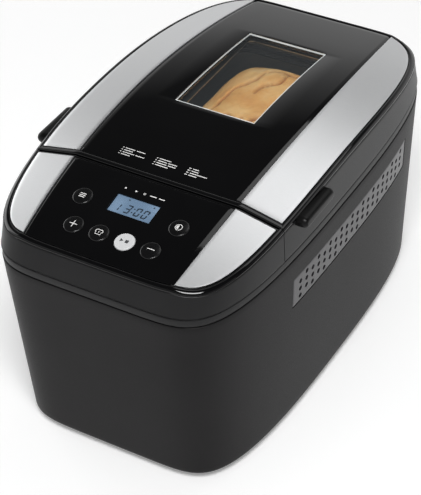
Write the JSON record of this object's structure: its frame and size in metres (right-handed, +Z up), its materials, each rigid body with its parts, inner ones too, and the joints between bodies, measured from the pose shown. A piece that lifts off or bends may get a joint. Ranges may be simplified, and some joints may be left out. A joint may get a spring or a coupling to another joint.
{
  "type": "bread machine",
  "caption": "Long bread machine with a tapered dark body, sloping button console and hinged arched lid with a window over a two-paddle pan.",
  "frame": {"origin": "middle of the machine's plan, on the surface that its feet stand on", "axes": "+Z up, +X to the right as seen from the front, -Y towards the front with the console, +Y towards the back with the lid hinge"},
  "size_m": [0.28, 0.4398, 0.2577],
  "materials": {
    "shell_plastic": "fine satin moulded plastic, dark grey",
    "vent_plastic": "satin moulded plastic, mid grey",
    "inner_plastic": "plain matt moulding, near black",
    "black_gloss": "polished black, mirror-like",
    "silver_trim": "fine satin silver",
    "foot_rubber": "soft black rubber",
    "seal_rubber": "grey silicone",
    "belt_rubber": "toothed black belt",
    "zinc_screws": "zinc-plated steel",
    "steel_parts": "turned and ground steel",
    "oven_sheet": "aluminised sheet steel, dull",
    "element_steel": "heat-darkened steel tube",
    "cast_metal": "plain die casting",
    "motor_steel": "varnished laminations and end bells",
    "bronze": "sintered bronze",
    "pulley_nylon": "natural nylon",
    "circuit_board": "green solder mask",
    "display": "pale blue liquid-crystal display",
    "button_black": "satin black keycap",
    "button_silver": "silver lacquered keycap",
    "pan_coating": "speckled dark non-stick coating",
    "window_glass": "clear toughened glass"
  },
  "bodies": {
    "housing": {"lower_shell": "shell_plastic", "base_plate": "inner_plastic", "rubber_feet": "foot_rubber", "base_screws": "zinc_screws", "trim_band": "shell_plastic", "side_vents": "vent_plastic", "cord_gland": "foot_rubber", "top_deck": "inner_plastic", "oven_chamber": "oven_sheet", "heating_element": "element_steel", "element_clips": "oven_sheet", "temperature_probe": "steel_parts", "pan_seat": "cast_metal", "drive_frame": "cast_metal", "drive_bushes": "bronze", "motor_bracket": "steel_parts", "motor_body": "motor_steel", "motor_belt": "belt_rubber", "link_belt": "belt_rubber", "power_board": "circuit_board", "control_board": "circuit_board", "lcd_display": "display", "console_housing": "black_gloss", "console_panel": "black_gloss", "console_trims": "silver_trim", "hinge_housing": "inner_plastic", "hinge_pins": "steel_parts"},
    "motor_rotor": {"motor_shaft": "steel_parts", "motor_pulley": "pulley_nylon"},
    "front_drive": {"front_drive_shaft": "steel_parts", "double_pulley": "pulley_nylon", "front_drive_dog": "cast_metal"},
    "rear_drive": {"rear_drive_shaft": "steel_parts", "rear_pulley": "pulley_nylon", "rear_drive_dog": "cast_metal"},
    "pan": {"bread_pan": "pan_coating", "pan_base": "cast_metal", "pan_bearings": "bronze", "handle_rivets": "steel_parts"},
    "bail": {"pan_handle": "steel_parts"},
    "front_kneader": {"front_paddle": "pan_coating", "front_paddle_shaft": "steel_parts"},
    "rear_kneader": {"rear_paddle": "pan_coating", "rear_paddle_shaft": "steel_parts"},
    "menu_key": {"menu_button": "button_black"},
    "plus_key": {"plus_button": "button_black"},
    "loaf_key": {"loaf_button": "button_black"},
    "start_key": {"start_button": "button_silver"},
    "minus_key": {"minus_button": "button_black"},
    "crust_key": {"crust_button": "button_black"},
    "lid": {"lid_cover": "black_gloss", "lid_panel": "black_gloss", "lid_trims": "silver_trim", "window_glass": "window_glass", "lid_liner": "oven_sheet", "inner_glass": "window_glass", "lid_seal": "seal_rubber", "lid_grips": "black_gloss", "hinge_arms": "cast_metal", "lid_screws": "zinc_screws"}
  },
  "joints": [
    {"name": "lid_hinge", "type": "hinge", "parent": "housing", "child": "lid", "pos_m": [0, 0.203, 0.218], "axis": [-1, 0, 0], "range_deg": [0, 85]},
    {"name": "pan_lift", "type": "slide", "parent": "housing", "child": "pan", "axis": [0, 0, 1], "range_m": [0, 0.01]},
    {"name": "bail_swing", "type": "hinge", "parent": "pan", "child": "bail", "pos_m": [0, 0.0435, 0.15933], "axis": [0, -1, 0], "range_deg": [0, 180]},
    {"name": "front_drive_spin", "type": "hinge", "parent": "housing", "child": "front_drive", "pos_m": [0, -0.0115, 0.05], "axis": [0, 0, 1], "continuous": true},
    {"name": "rear_drive_spin", "type": "hinge", "parent": "housing", "child": "rear_drive", "pos_m": [0, 0.0985, 0.05], "axis": [0, 0, 1], "continuous": true},
    {"name": "motor_spin", "type": "hinge", "parent": "housing", "child": "motor_rotor", "pos_m": [0, -0.1505, 0.05], "axis": [0, 0, 1], "continuous": true},
    {"name": "front_kneader_spin", "type": "hinge", "parent": "pan", "child": "front_kneader", "pos_m": [0, -0.0115, 0.09], "axis": [0, 0, 1], "continuous": true},
    {"name": "rear_kneader_spin", "type": "hinge", "parent": "pan", "child": "rear_kneader", "pos_m": [0, 0.0985, 0.09], "axis": [0, 0, 1], "continuous": true},
    {"name": "menu_press", "type": "slide", "parent": "housing", "child": "menu_key", "axis": [0, 0.1991, -0.98], "range_m": [0, 0.0012], "stiffness_N_per_m": 400, "springref_m": -0.0005},
    {"name": "plus_press", "type": "slide", "parent": "housing", "child": "plus_key", "axis": [0, 0.1991, -0.98], "range_m": [0, 0.0012], "stiffness_N_per_m": 400, "springref_m": -0.0005},
    {"name": "loaf_press", "type": "slide", "parent": "housing", "child": "loaf_key", "axis": [0, 0.1991, -0.98], "range_m": [0, 0.0012], "stiffness_N_per_m": 400, "springref_m": -0.0005},
    {"name": "start_press", "type": "slide", "parent": "housing", "child": "start_key", "axis": [0, 0.1991, -0.98], "range_m": [0, 0.0012], "stiffness_N_per_m": 400, "springref_m": -0.0005},
    {"name": "minus_press", "type": "slide", "parent": "housing", "child": "minus_key", "axis": [0, 0.1991, -0.98], "range_m": [0, 0.0012], "stiffness_N_per_m": 400, "springref_m": -0.0005},
    {"name": "crust_press", "type": "slide", "parent": "housing", "child": "crust_key", "axis": [0, 0.1991, -0.98], "range_m": [0, 0.0012], "stiffness_N_per_m": 400, "springref_m": -0.0005}
  ],
  "couplings": [
    {"joint": "rear_drive_spin", "follows": "front_drive_spin", "ratio": 1},
    {"joint": "motor_spin", "follows": "front_drive_spin", "ratio": 5},
    {"joint": "front_kneader_spin", "follows": "front_drive_spin", "ratio": 1},
    {"joint": "rear_kneader_spin", "follows": "front_drive_spin", "ratio": 1}
  ]
}
